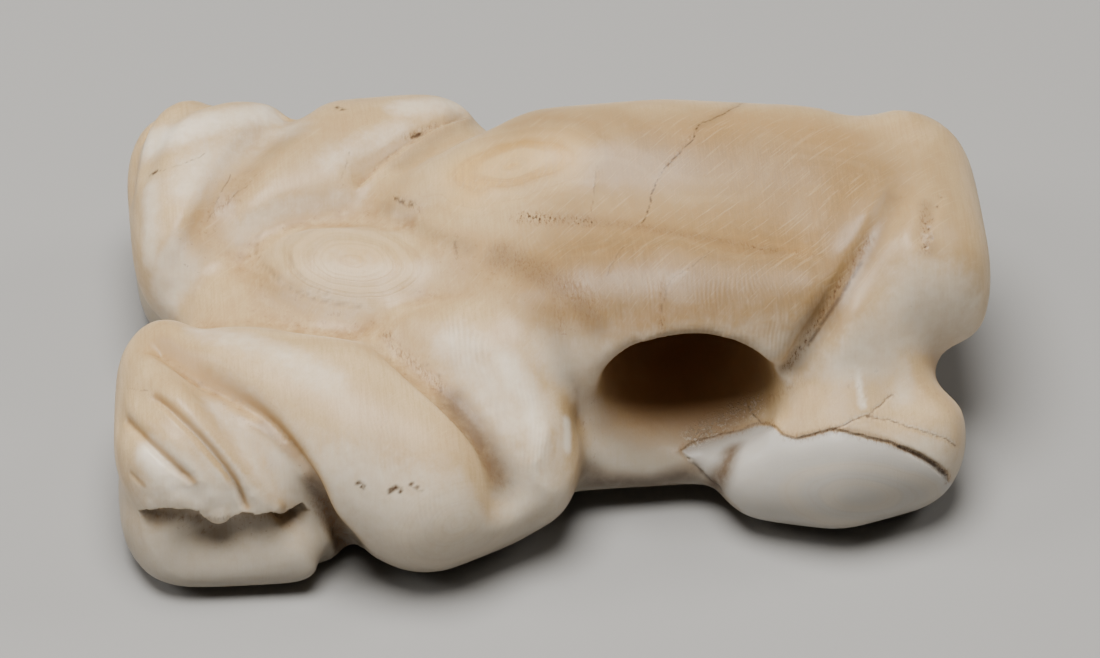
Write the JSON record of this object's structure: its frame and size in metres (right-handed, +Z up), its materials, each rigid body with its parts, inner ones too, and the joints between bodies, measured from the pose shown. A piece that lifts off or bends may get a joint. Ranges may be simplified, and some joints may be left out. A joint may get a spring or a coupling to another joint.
{
  "type": "carved shell amulet",
  "caption": "Small amulet carved from one lump of thick shell as a crouching creature with folded legs and a tunnel through its flanks for a cord.",
  "frame": {"origin": "middle of the underside, on the surface that the amulet lies on", "axes": "+X from the feet to the shoulders, +Y across the body to its far side, +Z up"},
  "size_m": [0.05, 0.033, 0.0163],
  "materials": {
    "shell": "polished"
  },
  "bodies": {
    "root": {"shell_amulet": "shell"}
  },
  "joints": []
}
